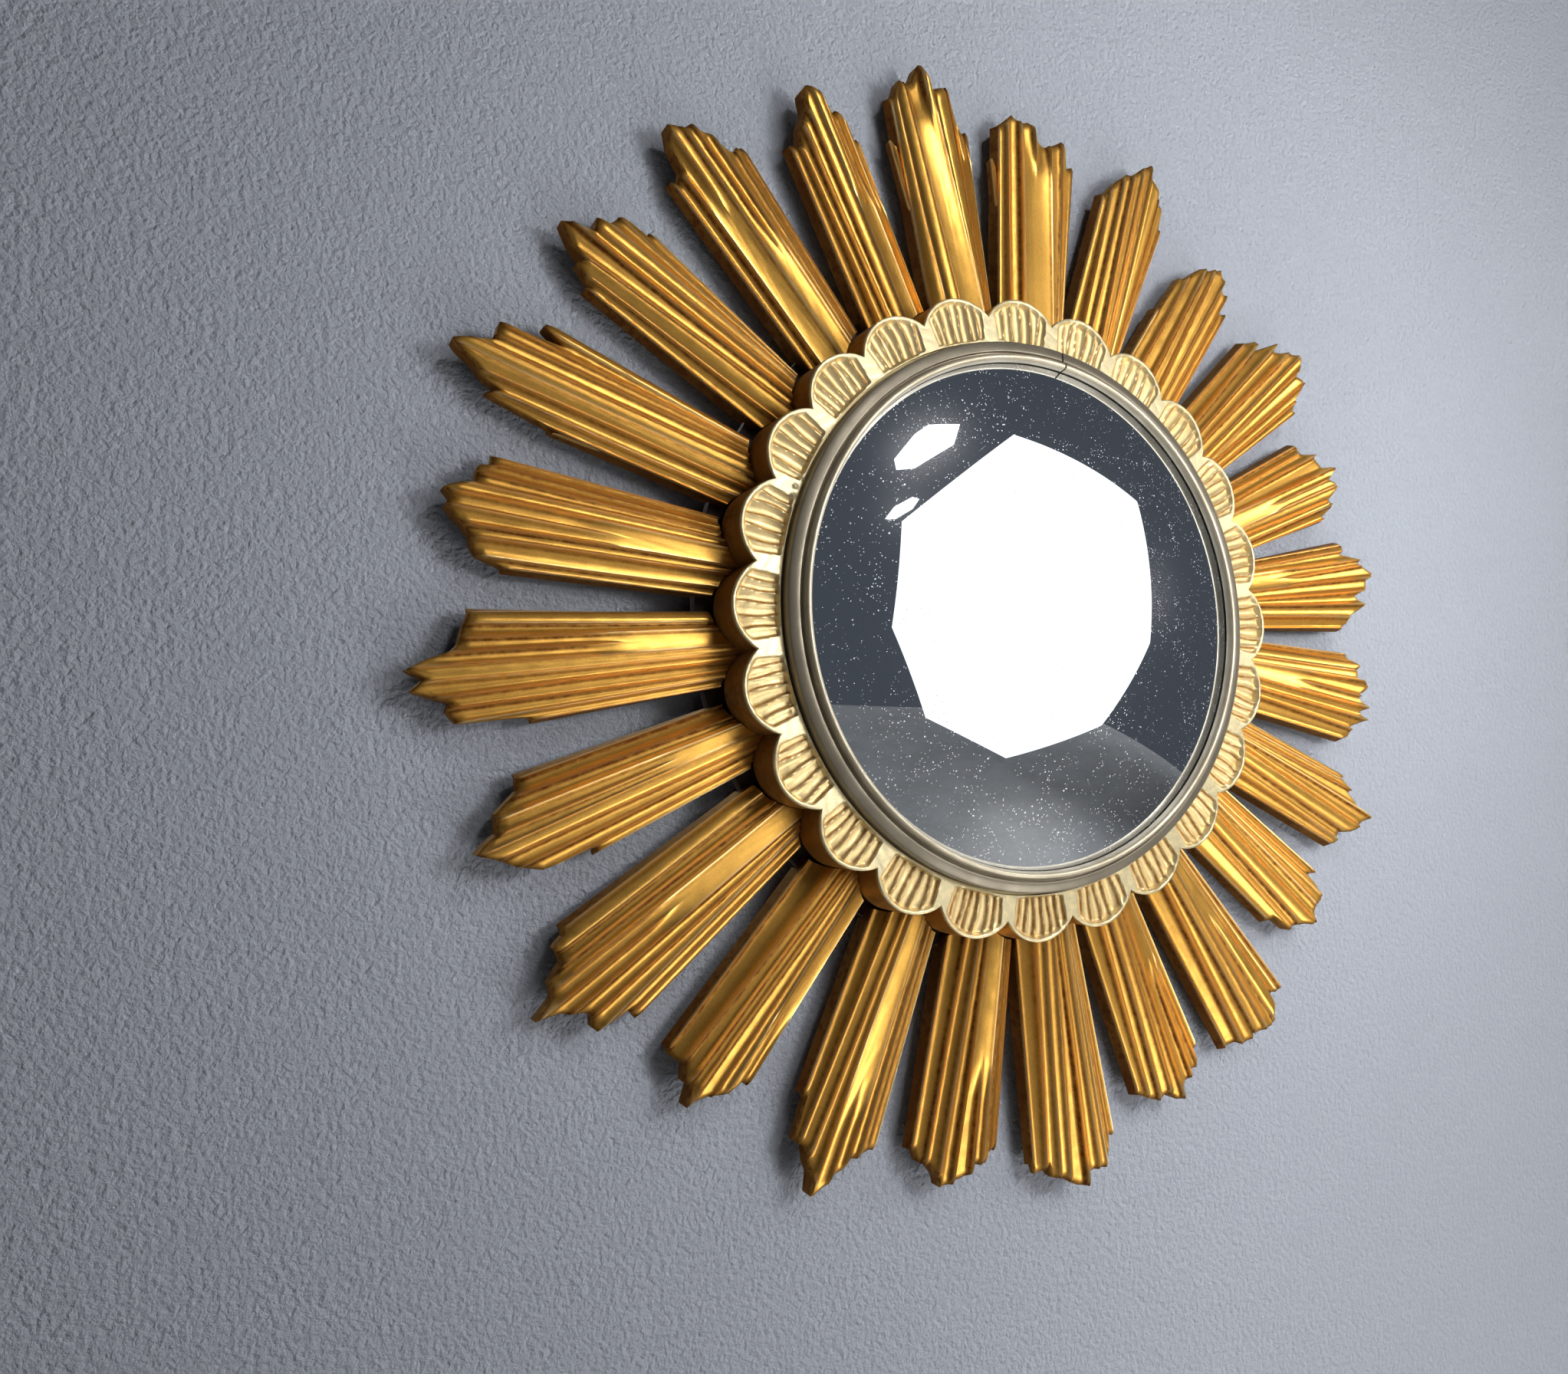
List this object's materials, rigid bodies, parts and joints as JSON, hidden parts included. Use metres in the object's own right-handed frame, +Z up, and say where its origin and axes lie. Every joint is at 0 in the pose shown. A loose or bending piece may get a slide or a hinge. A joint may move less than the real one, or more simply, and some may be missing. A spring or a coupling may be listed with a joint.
{
  "type": "sunburst wall mirror",
  "caption": "Sunburst wall mirror: convex round glass in a stepped bezel, fluted petal collar and carved gilt rays with ragged tips, hung from a ring.",
  "frame": {"origin": "centre of the mirror on the wall plane, against which its rubber bumpers rest", "axes": "+Z up, the front of the mirror towards -Y, the wall on the +Y side, +X to the right as seen from the front"},
  "size_m": [0.6552, 0.0795, 0.656],
  "materials": {
    "ray_gilding": "carved wood, gilded in an old warm gold with brown rubbed into the grooves",
    "collar_gilding": "turned and carved wood, gilded in a pale champagne gold with a purplish-brown wash",
    "bezel_metal": "thin brass strip with a pewter-gold plating, worn on its edges",
    "mirror_glass": "silvered convex glass, dusty and lightly scratched",
    "felt": "dark wool felt",
    "backing_board": "hardboard",
    "packing_wood": "plain plywood",
    "hub_wood": "plywood, stained brown",
    "bumper_rubber": "soft black rubber",
    "screw_steel": "zinc-plated steel",
    "hanger_steel": "nickel-plated steel strap and wire"
  },
  "bodies": {
    "mirror": {"ray_01": "ray_gilding", "ray_02": "ray_gilding", "ray_03": "ray_gilding", "ray_04": "ray_gilding", "ray_05": "ray_gilding", "ray_06": "ray_gilding", "ray_07": "ray_gilding", "ray_08": "ray_gilding", "ray_09": "ray_gilding", "ray_10": "ray_gilding", "ray_11": "ray_gilding", "ray_12": "ray_gilding", "ray_13": "ray_gilding", "ray_14": "ray_gilding", "ray_15": "ray_gilding", "ray_16": "ray_gilding", "ray_17": "ray_gilding", "ray_18": "ray_gilding", "ray_19": "ray_gilding", "ray_20": "ray_gilding", "ray_21": "ray_gilding", "ray_22": "ray_gilding", "ray_23": "ray_gilding", "ray_24": "ray_gilding", "hub_ring": "hub_wood", "petal_collar": "collar_gilding", "bezel_ring": "bezel_metal", "mirror_glass": "mirror_glass", "glass_felt": "felt", "backing_board": "backing_board", "packing_ring": "packing_wood", "wall_bumper_1": "bumper_rubber", "wall_bumper_2": "bumper_rubber", "wall_bumper_3": "bumper_rubber", "wall_bumper_4": "bumper_rubber", "collar_screw_1": "screw_steel", "collar_screw_2": "screw_steel", "collar_screw_3": "screw_steel", "collar_screw_4": "screw_steel", "collar_screw_5": "screw_steel", "collar_screw_6": "screw_steel", "collar_screw_7": "screw_steel", "collar_screw_8": "screw_steel", "hanger_strap": "hanger_steel", "hanger_screw_1": "screw_steel", "hanger_screw_2": "screw_steel"},
    "ring": {"hanger_ring": "hanger_steel"}
  },
  "joints": [
    {"name": "ring_swing", "type": "hinge", "parent": "mirror", "child": "ring", "pos_m": [0, -0.00372, 0.168], "axis": [1, 0, 0], "range_deg": [0, 168]}
  ]
}
